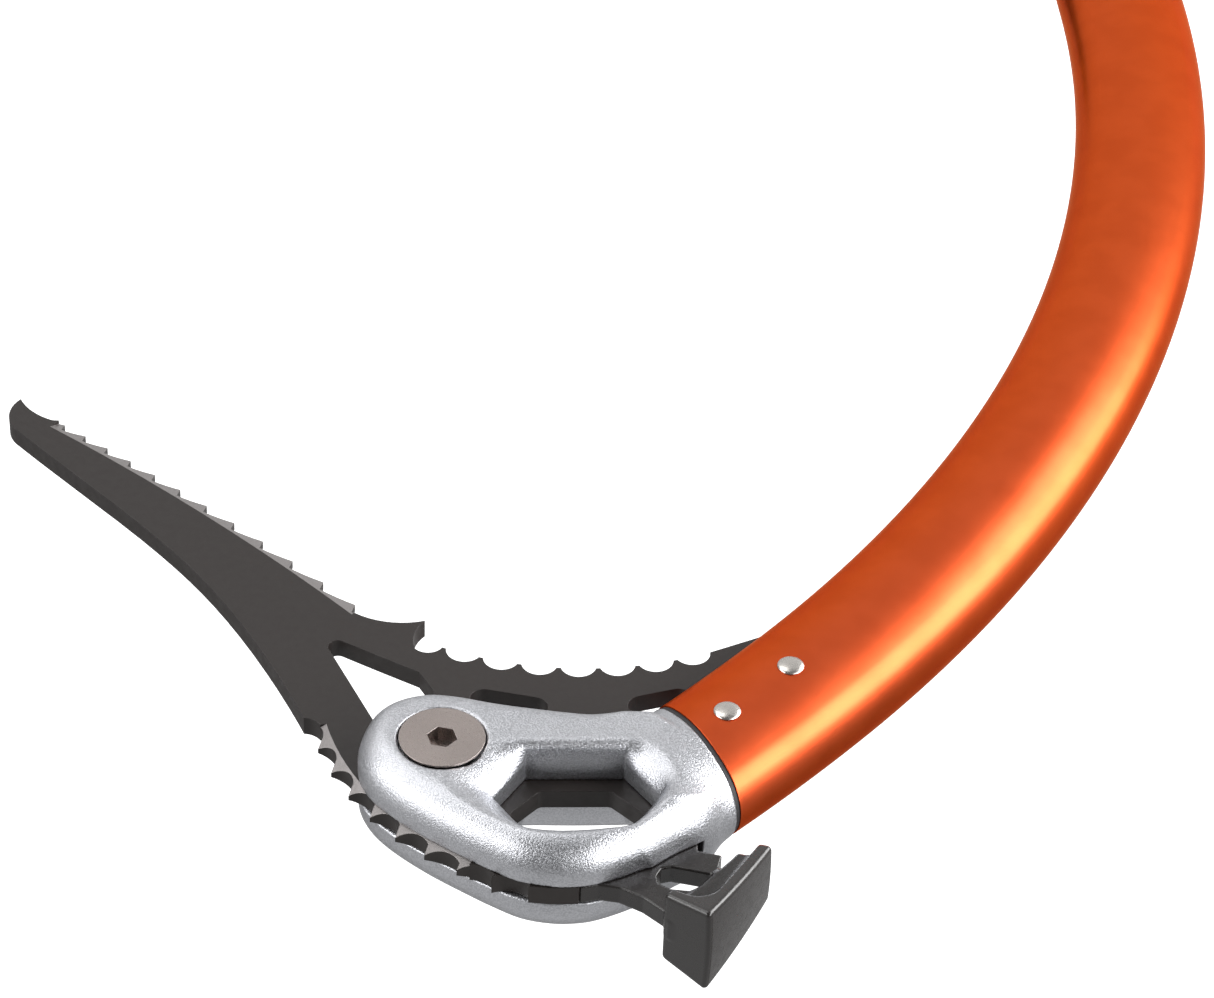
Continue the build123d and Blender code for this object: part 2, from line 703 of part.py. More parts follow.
# ---- Plug in the foot of the tube, and the spike riveted into it ----
with BuildPart() as end_plug:
    with BuildSketch(handle_plane(0)):
        shaft_oval(-shaft_wall - plug_clearance)
    extrude(amount=end_plug_length)
    fillet(end_faces(end_plug)[-1].edges(), 0.8)
    with BuildSketch(handle_plane(0)):
        Rectangle(2 * spike_tang_half_width + 0.1, spike_thickness + 0.1)
    extrude(amount=spike_tang_length + 0.5, mode=Mode.SUBTRACT)
    for centre in handle_rivets:
        rivet_hole(centre)
    with BuildSketch(Plane(origin=tube_end + up_handle * screw_station, x_dir=up_handle, z_dir=(0, -1, 0))):
        Circle(screw_radius + fit_clearance)
    extrude(amount=shaft_thickness, both=True, mode=Mode.SUBTRACT)

with BuildPart() as spike:
    with BuildSketch(handle_side):
        with BuildLine():
            Polyline(
                (-spike_tang_half_width, spike_tang_length),
                (-spike_tang_half_width, -0.1),
                (-spike_half_width, -0.1),
                (-spike_half_width, -10),
            )
            Spline(
                (-spike_half_width, -10),
                (-7.0, -21),
                (0.5, -spike_length),
                tangents=[(0, -1), (0.7, -0.7)],
            )
            Spline((0.5, -spike_length), (6.5, -21), (spike_half_width, -10), tangents=[(0.15, 1), (0, 1)])
            Polyline(
                (spike_half_width, -10),
                (spike_half_width, -0.1),
                (spike_tang_half_width, -0.1),
                (spike_tang_half_width, spike_tang_length),
                (-spike_tang_half_width, spike_tang_length),
            )
        make_face()
        with Locations((0, -eye_below_tube)):
            Circle(eye_radius, mode=Mode.SUBTRACT)
    extrude(amount=spike_thickness / 2, both=True)
    for centre in handle_rivets:
        rivet_hole(centre)

# ---- Trigger: a clamped collar with a hook for the forefinger ----
trigger_foot = grip_top + collar_height + trigger_gap
outer = liner_wall + slide_clearance + trigger_wall
hook_in = shaft_width / 2 + 1
hook_out = shaft_width / 2 + outer + trigger_reach
hook_foot, hook_top = trigger_foot + 1, trigger_foot + trigger_rise
with BuildPart() as trigger_hook:
    with BuildSketch(handle_side):
        with BuildLine():
            hook_end, hook_bed = (hook_out, hook_top), hook_foot + trigger_bed
            Line((hook_in, hook_foot), (hook_in + 8, hook_foot))
            TangentArc((hook_in + 8, hook_foot), hook_end, tangent=(1, 0))
            inner_top = (hook_out - trigger_hook_thickness, hook_top)
            inner_bend = (hook_out - trigger_hook_thickness - 5.5, hook_bed + 2.5)
            Line(hook_end, inner_top)
            ThreePointArc(inner_top, inner_bend, (hook_in + 6, hook_bed))
            Polyline((hook_in + 6, hook_bed), (hook_in, hook_bed), (hook_in, hook_foot))
        make_face()
    extrude(amount=trigger_half_width, both=True)
    fillet(trigger_hook.faces().sort_by(Axis.Y)[0].edges(), 1.8)
    fillet(trigger_hook.faces().sort_by(Axis.Y)[-1].edges(), 1.8)

with BuildPart() as trigger:
    with BuildSketch(handle_plane(trigger_foot)):
        shaft_oval(outer)
    extrude(amount=trigger_height)
    fillet(end_faces(trigger).edges(), 1.2)
    add(trigger_hook.part)
    ear_height = trigger_height - 4
    with BuildSketch(handle_plane(trigger_foot + 2)):
        with Locations((-shaft_width / 2 - outer - ear_reach / 2 + 2, 0)):
            Rectangle(ear_reach + 2, 2 * ear_half)
            fillet(vertices(), 1.5)
    extrude(amount=ear_height)
    with BuildSketch(handle_plane(trigger_foot)):
        shaft_oval(slide_clearance + liner_wall)
        with Locations((-shaft_width / 2 - outer - ear_reach / 2, 0)):
            Rectangle(ear_reach + 2 * outer, ear_slit)
    extrude(amount=trigger_height, mode=Mode.SUBTRACT)
    clamp_at = (-shaft_width / 2 - outer - ear_reach / 2 + 2, trigger_foot + trigger_height / 2)
    with BuildSketch(handle_side.offset(ear_half + 1)):
        with Locations(clamp_at):
            Circle(clamp_screw_radius + fit_clearance)
    extrude(amount=-2 * ear_half - 2, mode=Mode.SUBTRACT)
    with BuildSketch(handle_side.offset(ear_half)):
        with Locations(clamp_at):
            Circle(clamp_head_radius + 0.15)
    extrude(amount=-clamp_head_height, mode=Mode.SUBTRACT)
    with BuildSketch(handle_side.offset(-ear_half)):
        with Locations(clamp_at):
            RegularPolygon(clamp_nut_flats / 2 + 0.1, 6, major_radius=False)
    extrude(amount=clamp_nut_height, mode=Mode.SUBTRACT)

with BuildPart() as trigger_liner:
    with BuildSketch(handle_plane(trigger_foot + 0.5)):
        shaft_oval(slide_clearance + liner_wall - 0.02)
    extrude(amount=trigger_height - 1)
    with BuildSketch(handle_plane(trigger_foot)):
        shaft_oval(slide_clearance)
        with Locations((-shaft_width / 2 - 2, 0)):
            Rectangle(6, ear_slit)
    extrude(amount=trigger_height, mode=Mode.SUBTRACT)

clamp_centre = handle_side.from_local_coords(clamp_at)
with BuildPart() as trigger_screw:
    across(
        clamp_centre,
        [
            (0, -ear_half + 0.2),
            (clamp_head_radius, -ear_half + 0.2),
            (clamp_head_radius, -ear_half + clamp_head_height),
            (clamp_screw_radius, -ear_half + clamp_head_height),
            (clamp_screw_radius, ear_half - 0.3),
            (0, ear_half - 0.3),
        ],
    )
    with BuildSketch(handle_side.offset(ear_half)):
        with Locations(clamp_at):
            RegularPolygon(1.5, 6, major_radius=False)
    extrude(amount=-2.0, mode=Mode.SUBTRACT)

with BuildPart() as trigger_nut:
    with BuildSketch(handle_side.offset(-ear_half + 0.2)):
        with Locations(clamp_at):
            RegularPolygon(clamp_nut_flats / 2, 6, major_radius=False)
            Circle(clamp_screw_radius + fit_clearance, mode=Mode.SUBTRACT)
    extrude(amount=clamp_nut_height - 0.2)

for piece, name in (
    (shaft, "shaft"),
    (head_gasket, "head_gasket"),
    (head, "head"),
    (pick, "pick"),
    (hammer, "hammer"),
    (pick_bolt, "pick_bolt"),
    (pick_nut, "pick_nut"),
    (grip, "grip"),
    (grip_collar, "grip_collar"),
    (hand_rest, "hand_rest"),
    (end_plug, "end_plug"),
    (spike, "spike"),
    (trigger, "trigger"),
    (trigger_liner, "trigger_liner"),
    (trigger_screw, "trigger_screw"),
    (trigger_nut, "trigger_nut"),
):
    piece.part.label = name
    export_step(piece.part, f"parts/{name}.step")
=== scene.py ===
"""Looks of a technical ice axe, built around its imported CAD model.

Lengths inside the builders are millimetres in the row frame; they turn into metres when a mesh is made.
"""

from __future__ import annotations

import logging
from dataclasses import dataclass
from enum import Enum
from itertools import product
from math import cos, pi, radians, sin
from typing import Callable, Iterable, Sequence

import bpy
import numpy as np
from mathutils import Matrix, Vector


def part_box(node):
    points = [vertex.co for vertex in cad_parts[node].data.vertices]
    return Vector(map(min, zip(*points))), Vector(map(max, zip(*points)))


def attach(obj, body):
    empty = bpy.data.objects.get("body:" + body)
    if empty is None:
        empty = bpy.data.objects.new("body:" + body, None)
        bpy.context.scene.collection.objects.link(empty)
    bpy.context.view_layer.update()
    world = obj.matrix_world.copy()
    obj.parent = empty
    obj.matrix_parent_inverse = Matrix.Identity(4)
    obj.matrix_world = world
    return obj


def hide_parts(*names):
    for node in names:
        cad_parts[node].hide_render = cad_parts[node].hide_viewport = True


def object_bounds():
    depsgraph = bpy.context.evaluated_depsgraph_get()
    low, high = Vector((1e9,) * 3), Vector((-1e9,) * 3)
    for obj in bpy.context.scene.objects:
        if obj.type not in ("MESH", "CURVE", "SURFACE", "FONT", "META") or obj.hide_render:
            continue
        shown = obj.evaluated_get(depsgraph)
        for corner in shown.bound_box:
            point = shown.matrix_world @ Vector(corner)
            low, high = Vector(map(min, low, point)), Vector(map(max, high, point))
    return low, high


log = logging.getLogger("ice_axe")
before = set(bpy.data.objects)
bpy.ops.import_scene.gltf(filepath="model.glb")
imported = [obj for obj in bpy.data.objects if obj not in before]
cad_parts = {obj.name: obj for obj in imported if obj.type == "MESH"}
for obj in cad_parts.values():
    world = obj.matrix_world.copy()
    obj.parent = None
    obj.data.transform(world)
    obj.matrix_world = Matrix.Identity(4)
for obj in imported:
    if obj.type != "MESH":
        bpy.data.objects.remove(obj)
START_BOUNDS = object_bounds()

MM = 0.001
Field = Callable[[np.ndarray, np.ndarray, np.ndarray], np.ndarray]
Point = tuple[float, float]
Colour = tuple[float, float, float, float]
Socket = bpy.types.NodeSocket


# ---------------------------------------------------------------- colours and shader graphs
def linear(code: str) -> Colour:
    """Turn a display colour into the linear one that shaders take.

    Args:
        code: the colour as "#rrggbb".

    Returns:
        Red, green, blue and alpha, linear.
    """
    parts = [int(code[i : i + 2], 16) / 255 for i in (1, 3, 5)]
    return (*[p / 12.92 if p <= 0.04045 else ((p + 0.055) / 1.055) ** 2.4 for p in parts], 1.0)


class Graph:
    """A material's shader tree, with one call that adds a node."""

    def __init__(self, name: str) -> None:
        self.material = bpy.data.materials.new(name)
        self.material.use_nodes = True
        self.tree = self.material.node_tree
        self.tree.nodes.clear()

    def add(self, kind: str, inputs: dict | None = None, **settings) -> bpy.types.Node:
        """Add a node, set it up and link it.

        Args:
            kind: the node's type name, without "ShaderNode".
            inputs: a value or an output socket for each named or numbered input.
            **settings: properties of the node.

        Returns:
            The new node.
        """
        node = self.tree.nodes.new("ShaderNode" + kind)
        for key, value in settings.items():
            setattr(node, key, value)
        for key, value in (inputs or {}).items():
            if isinstance(value, bpy.types.NodeSocket):
                self.tree.links.new(value, node.inputs[key])
            else:
                node.inputs[key].default_value = value
        return node

    def grain(self, size_mm: float, detail: float = 2.0, rough: float = 0.5) -> Socket:
        """Three-dimensional noise with grains of a real size.

        Args:
            size_mm: one grain across.
            detail: octaves above it.
            rough: weight of those octaves.

        Returns:
            The noise, about 0.5 on average.
        """
        place = self.add("TexCoord").outputs["Object"]
        inputs = {"Vector": place, "Scale": 1 / (size_mm * MM), "Detail": detail, "Roughness": rough}
        return self.add("TexNoise", inputs).outputs["Fac"]

    def ramp(self, value: Socket, low: float, high: float, to_low: float, to_high: float) -> Socket:
        """Map a value from one range to another, smoothly, and keep it inside.

        Args:
            value: the socket to map.
            low: where the first range starts.
            high: where it ends.
            to_low: what low becomes.
            to_high: what high becomes.

        Returns:
            The mapped value's socket.
        """
        node = self.add(
            "MapRange",
            {"Value": value, "From Min": low, "From Max": high, "To Min": to_low, "To Max": to_high},
            interpolation_type="SMOOTHSTEP",
        )
        return node.outputs["Result"]

    def mix(self, share: Socket, first: Colour | Socket, second: Colour | Socket) -> Socket:
        """Blend two colours.

        Args:
            share: how much of the second there is, from 0 to 1.
            first: the colour at 0.
            second: the colour at 1.

        Returns:
            The blended colour's socket.
        """
        node = self.add("Mix", {0: share, 6: first, 7: second}, data_type="RGBA")
        return node.outputs[2]

    def bump(self, height: Socket, strength: float, depth_mm: float, normal: Socket | None = None) -> Socket:
        """Relief of a real depth.

        Args:
            height: the relief's pattern.
            strength: how much of it shows.
            depth_mm: how deep it is.
            normal: the normal that it bends, if not the surface's own.

        Returns:
            The bent normal's socket.
        """
        inputs = {"Height": height, "Strength": strength, "Distance": depth_mm * MM}
        if normal is not None:
            inputs["Normal"] = normal
        return self.add("Bump", inputs).outputs["Normal"]

    def soft_edges(self, radius_mm: float) -> Socket:
        """The normal of the slight round that every real edge has, so that it catches the light."""
        return self.add("Bevel", {"Radius": radius_mm * MM}, samples=6).outputs["Normal"]

    def finish(self, inputs: dict) -> bpy.types.Material:
        """Close the tree with one surface shader.

        Args:
            inputs: values or sockets for the principled shader.

        Returns:
            The material.
        """
        shader = self.add("BsdfPrincipled", inputs)
        self.add("OutputMaterial", {"Surface": shader.outputs[0]})
        return self.material


# ---------------------------------------------------------------- finishes
@dataclass(frozen=True)
class Anodised:
    """Satin dyed aluminium: a saturated body with a pale, finely grained sheen."""

    name: str = "anodised_orange_aluminium"
    dye: str = "#be4f2b"
    deep: str = "#b84b28"
    sheen: str = "#ffb070"
    roughness: float = 0.34

    def build(self) -> bpy.types.Material:
        """Make the material."""
        g = Graph(self.name)
        fine = g.grain(0.16, 3.0, 0.6)
        broad = g.grain(9.0, 2.0)
        body = g.mix(g.ramp(broad, 0.35, 0.65, 0.0, 1.0), linear(self.dye), linear(self.deep))
        rough = g.ramp(fine, 0.3, 0.7, self.roughness - 0.05, self.roughness + 0.07)
        normal = g.bump(fine, 0.24, 0.012, g.soft_edges(0.25))
        return g.finish(
            {
                "Base Color": body,
                "Metallic": 1.0,
                "Specular Tint": linear(self.sheen),
                "Roughness": rough,
                "Normal": normal,
                "Coat Weight": 0.07,
                "Coat Roughness": 0.2,
                "Coat Normal": normal,
            }
        )


@dataclass(frozen=True)
class Blasted:
    """Bead-blasted and clear-anodised aluminium: a bright satin with a sparkle of fine dimples."""

    name: str = "blasted_aluminium"
    metal: str = "#a4a5a9"
    bright: str = "#b9babe"
    roughness: float = 0.36

    def build(self) -> bpy.types.Material:
        """Make the material."""
        g = Graph(self.name)
        dimples = g.grain(0.34, 2.0, 0.6)
        waves = g.grain(3.0, 2.0)
        rough = g.ramp(dimples, 0.3, 0.7, self.roughness - 0.06, self.roughness + 0.08)
        normal = g.bump(waves, 0.25, 0.04, g.bump(dimples, 1.0, 0.12))
        tone = g.mix(g.ramp(dimples, 0.38, 0.62, 0.0, 1.0), linear(self.metal), linear(self.bright))
        return g.finish({"Base Color": tone, "Metallic": 1.0, "Roughness": rough, "Normal": normal})


@dataclass(frozen=True)
class CoatedSteel:
    """Matt dark coating on steel plate, worn to grey wherever a facet was ground after it."""

    name: str = "coated_steel_ground_facets"
    coat: str = "#1c1715"
    ground: str = "#8b8786"
    roughness: float = 0.47

    def build(self) -> bpy.types.Material:
        """Make the material."""
        g = Graph(self.name)
        geometry = g.add("NewGeometry")
        across = g.add("SeparateXYZ", {"Vector": geometry.outputs["Normal"]}).outputs["Y"]
        flat = g.add("Math", {0: across}, operation="ABSOLUTE").outputs[0]
        # a ground facet is neither a side of the plate nor square to it
        above = g.ramp(flat, 0.22, 0.32, 0.0, 1.0)
        below = g.ramp(flat, 0.93, 0.98, 1.0, 0.0)
        scratches = g.grain(0.12, 3.0, 0.7)
        share = g.add("Math", {0: above, 1: below}, operation="MULTIPLY").outputs[0]
        kept = g.ramp(scratches, 0.25, 0.6, 0.55, 0.95)
        worn = g.add("Math", {0: share, 1: kept}, operation="MULTIPLY").outputs[0]
        specks = g.ramp(g.grain(0.45, 4.0, 0.75), 0.70, 0.78, 0.0, 0.5)
        body = g.mix(specks, linear(self.coat), linear("#6f6a68"))
        body = g.mix(worn, body, linear(self.ground))
        fine = g.grain(0.22, 3.0, 0.6)
        normal = g.bump(fine, 0.35, 0.02, g.soft_edges(0.22))
        rough = g.ramp(g.grain(2.2, 3.0), 0.3, 0.7, self.roughness - 0.05, self.roughness + 0.06)
        return g.finish(
            {
                "Base Color": body,
                "Metallic": g.ramp(worn, 0.0, 1.0, 0.0, 0.75),
                "Roughness": rough,
                "Specular IOR Level": 0.36,
                "Normal": normal,
            }
        )


@dataclass(frozen=True)
class GlossCoat:
    """The same dark coating over a forged and tumbled block, smoother and shinier."""

    name: str = "coated_steel_tumbled"
    coat: str = "#1a1716"
    roughness: float = 0.24

    def build(self) -> bpy.types.Material:
        """Make the material."""
        g = Graph(self.name)
        fine = g.grain(0.30, 3.0, 0.6)
        normal = g.bump(fine, 0.12, 0.010)
        rough = g.ramp(g.grain(1.6, 3.0), 0.3, 0.7, self.roughness - 0.04, self.roughness + 0.08)
        return g.finish({"Base Color": linear(self.coat), "Roughness": rough, "Normal": normal})


@dataclass(frozen=True)
class Turned:
    """Stainless or bright metal off a lathe, with faint rings about an axis across the axe."""

    name: str
    metal: str
    centre_mm: tuple[float, float, float] | None = None
    pitch_mm: float = 0.18
    roughness: float = 0.30

    def build(self) -> bpy.types.Material:
        """Make the material."""
        g = Graph(self.name)
        normal = g.soft_edges(0.18)
        if self.centre_mm is not None:
            place = g.add("TexCoord").outputs["Object"]
            centre = tuple(c * MM for c in self.centre_mm)
            moved = g.add("VectorMath", {0: place, 1: centre}, operation="SUBTRACT")
            flat = g.add("VectorMath", {0: moved.outputs[0], 1: (1.0, 0.0, 1.0)}, operation="MULTIPLY")
            reach = g.add("VectorMath", {0: flat.outputs[0]}, operation="LENGTH").outputs["Value"]
            turns_per_metre = 2 * pi / (self.pitch_mm * MM)
            waves = g.add("Math", {0: reach, 1: turns_per_metre}, operation="MULTIPLY").outputs[0]
            rings = g.add("Math", {0: waves}, operation="SINE").outputs[0]
            normal = g.bump(rings, 0.5, 0.006, normal)
        grain = g.grain(0.25, 3.0, 0.6)
        normal = g.bump(grain, 0.3, 0.012, normal)
        rough = g.ramp(grain, 0.3, 0.7, self.roughness - 0.05, self.roughness + 0.08)
        metal = linear(self.metal)
        return g.finish({"Base Color": metal, "Metallic": 1.0, "Roughness": rough, "Normal": normal})


@dataclass(frozen=True)
class Moulded:
    """Rubber or plastic out of a mould: a dark skin with a real surface texture."""

    name: str
    tint: str
    roughness: float
    texture_mm: float
    relief_mm: float

    def build(self) -> bpy.types.Material:
        """Make the material."""
        g = Graph(self.name)
        skin = g.grain(self.texture_mm, 3.0, 0.55)
        dust = g.grain(6.0, 3.0)
        normal = g.bump(skin, 0.6, self.relief_mm, g.soft_edges(0.3))
        rough = g.ramp(dust, 0.3, 0.7, self.roughness - 0.05, self.roughness + 0.06)
        return g.finish({"Base Color": linear(self.tint), "Roughness": rough, "Normal": normal})


# ---------------------------------------------------------------- meshing
def round_max(first: np.ndarray, second: np.ndarray, radius: float | np.ndarray) -> np.ndarray:
    """Intersect two signed fields and round the edge where they meet.

    Args:
        first: a field, negative inside.
        second: the other one.
        radius: the round's radius, which may vary from place to place.

    Returns:
        The field of what lies in both.
    """
    inner = np.minimum(np.maximum(first, second), -radius)
    return inner + np.hypot(np.maximum(first + radius, 0), np.maximum(second + radius, 0))


def round_min(first: np.ndarray, second: np.ndarray, radius: float | np.ndarray) -> np.ndarray:
    """Join two signed fields with a fillet."""
    return -round_max(-first, -second, radius)


def step_up(value: np.ndarray, low: float, high: float) -> np.ndarray:
    """Rise smoothly from 0 at low to 1 at high."""
    t = np.clip((value - low) / (high - low), 0, 1)
    return t * t * (3 - 2 * t)


def polygon_field(points: Sequence[Point], x: np.ndarray, z: np.ndarray) -> np.ndarray:
    """Signed distance to a closed outline, negative inside.

    Args:
        points: the outline's corners in order.
        x: where to measure.
        z: where to measure.

    Returns:
        The distances, in the outline's own unit.
    """
    nearest = np.full(np.broadcast(x, z).shape, 1e9)
    inside = np.zeros(nearest.shape, dtype=bool)
    for (ax, az), (bx, bz) in zip(points, [*points[1:], points[0]]):
        ex, ez = bx - ax, bz - az
        t = np.clip(((x - ax) * ex + (z - az) * ez) / (ex * ex + ez * ez), 0, 1)
        nearest = np.minimum(nearest, (x - ax - t * ex) ** 2 + (z - az - t * ez) ** 2)
        if az != bz:
            crosses = (az > z) != (bz > z)
            inside ^= crosses & (x < ax + (z - az) * ex / ez)
    return np.where(inside, -1, 1) * np.sqrt(nearest)


def smooth_loop(points: Sequence[Point], per_span: int = 8) -> list[Point]:
    """A closed smooth curve through the given points.

    Args:
        points: the points, in order.
        per_span: how many short straight steps each span gets.

    Returns:
        The finer outline.
    """
    fine: list[Point] = []
    count = len(points)
    for i in range(count):
        p0, p1, p2, p3 = (np.array(points[(i + k) % count]) for k in (-1, 0, 1, 2))
        for k in range(per_span):
            t = k / per_span
            square, cube = 2 * p0 - 5 * p1 + 4 * p2 - p3, 3 * p1 - p0 - 3 * p2 + p3
            q = 0.5 * (2 * p1 + (p2 - p0) * t + square * t**2 + cube * t**3)
            fine.append((float(q[0]), float(q[1])))
    return fine


def oval_field(
    u: np.ndarray, y: np.ndarray, width: float, thickness: float, edge_radius: float
) -> np.ndarray:
    """Signed distance to an oval of two flat arcs and two edge arcs.

    Args:
        u: where to measure, along the width.
        y: where to measure, along the thickness.
        width: the oval's longer size.
        thickness: the shorter one.
        edge_radius: radius of the edge arcs.

    Returns:
        The distances, negative inside.
    """
    half, rise = width / 2 - edge_radius, thickness / 2 - edge_radius
    crown = (half**2 - rise**2) / (2 * rise)
    u, y = np.abs(u), np.abs(y)
    on_edge = (u * crown) > (y + crown) * half
    to_edge = np.hypot(u - half, y) - edge_radius
    return np.where(on_edge, to_edge, np.hypot(u, y + crown) - thickness / 2 - crown)


def mesh_field(
    name: str, shape: Field, low: Sequence[float], high: Sequence[float], step: float
) -> bpy.types.Object:
    """Mesh the zero surface of a signed field with one vertex in each cell that it crosses.

    Args:
        name: the new object's name.
        shape: the field, in millimetres, negative inside.
        low: the grid's lowest corner.
        high: the grid's highest corner.
        step: the size of a cell.

    Returns:
        The object, in the row frame, in metres.
    """
    axes = [np.arange(low[i], high[i] + step, step) for i in range(3)]
    values = np.ascontiguousarray(shape(*np.meshgrid(*axes, indexing="ij", sparse=True)))
    inside = values < 0
    n = values.shape
    offsets = list(product((0, 1), repeat=3))
    parts = [tuple(slice(o[i], n[i] - 1 + o[i]) for i in range(3)) for o in offsets]
    count = sum(inside[p].astype(np.int8) for p in parts)
    active = (count > 0) & (count < 8)
    index = np.full(active.shape, -1, dtype=np.int64)
    index[active] = np.arange(active.sum())
    corner = np.stack([values[p][active] for p in parts], 1)
    places = np.array(offsets, dtype=float)
    total, hits = np.zeros((len(corner), 3)), np.zeros(len(corner))
    pairs = [(a, b) for a in range(8) for b in range(a + 1, 8)]
    for a, b in (pair for pair in pairs if np.abs(places[pair[0]] - places[pair[1]]).sum() == 1):
        cross = (corner[:, a] < 0) != (corner[:, b] < 0)
        share = corner[cross, a] / (corner[cross, a] - corner[cross, b])
        total[cross] += places[a] + share[:, None] * (places[b] - places[a])
        hits[cross] += 1
    points = np.array(low) + (np.argwhere(active) + total / hits[:, None]) * step
    points = pull_to_surface(shape, points, step)
    quads = []
    for axis in range(3):
        a, cells = np.moveaxis(inside, axis, 0), np.moveaxis(index, axis, 0)
        i, j, k = np.nonzero((a[:-1] != a[1:])[:, 1:-1, 1:-1])
        j, k = j + 1, k + 1
        quad = np.stack([cells[i, j - 1, k - 1], cells[i, j, k - 1], cells[i, j, k], cells[i, j - 1, k]], 1)
        backwards = a[i, j, k] == (axis == 1)
        quad[backwards] = quad[backwards][:, ::-1]
        quads.append(quad)
    return new_mesh(name, points, np.concatenate(quads))


def pull_to_surface(shape: Field, points: np.ndarray, step: float) -> np.ndarray:
    """Move each vertex down the field's slope until it lies on the surface.

    Args:
        shape: the field, in millimetres, negative inside.
        points: the vertices.
        step: the size of a cell, which no vertex leaves.

    Returns:
        The moved vertices.
    """
    reach = step * 0.25
    for _ in range(2):
        here = shape(*points.T)
        slope = np.stack(
            [(shape(*(points + e).T) - shape(*(points - e).T)) / (2 * reach) for e in np.eye(3) * reach], 1
        )
        size = np.maximum((slope**2).sum(1), 0.25)
        move = -(here / size)[:, None] * slope
        length = np.linalg.norm(move, axis=1, keepdims=True)
        points = points + move * np.minimum(1, 0.5 * step / np.maximum(length, 1e-9))
    return points


def new_mesh(name: str, points_mm: np.ndarray, faces: Iterable) -> bpy.types.Object:
    """Make a smooth-shaded object.

    Args:
        name: its name.
        points_mm: its vertices in millimetres.
        faces: the vertices of each face.

    Returns:
        The object, in metres.
    """
    mesh = bpy.data.meshes.new(name)
    mesh.from_pydata((np.asarray(points_mm) * MM).tolist(), [], [list(map(int, f)) for f in faces])
    mesh.shade_smooth()
    obj = bpy.data.objects.new(name, mesh)
    bpy.context.scene.collection.objects.link(obj)
    return obj


# ---------------------------------------------------------------- where things are
def centre_of(node: str) -> np.ndarray:
    """The middle of a CAD node's box, in millimetres."""
    low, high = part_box(node)
    return (np.array(low) + np.array(high)) / 2 / MM


BOLT = centre_of("pick_bolt") * [1, 0, 1]


def heading(angle: float) -> np.ndarray:
    """A unit vector in the plane of the axe, at an angle up from +X."""
    return np.array([cos(radians(angle)), 0.0, sin(radians(angle))])


class Rider(Enum):
    """The bodies that pieces ride on."""

    AXE = "axe"
    TRIGGER = "trigger"


@dataclass
class Piece:
    """A sub-assembly that puts its own meshes and finishes in the scene."""

    rider: Rider = Rider.AXE

    def place(self, obj: bpy.types.Object, material: bpy.types.Material, node: str) -> None:
        """Give an own mesh its finish and let it stand for a CAD node.

        Args:
            obj: the mesh.
            material: its finish.
            node: the CAD node that it replaces.
        """
        obj.data.materials.append(material)
        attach(obj, self.rider.value)
        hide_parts(node)
        log.info("%s stands for %s with %d faces", obj.name, node, len(obj.data.polygons))

    def paint(self, material: bpy.types.Material, *nodes: str) -> None:
        """Give CAD nodes a finish in their own slots.

        Args:
            material: the finish.
            *nodes: the nodes.
        """
        for node in nodes:
            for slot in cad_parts[node].material_slots:
                slot.material = material
            log.info("%s is finished in %s", node, material.name)


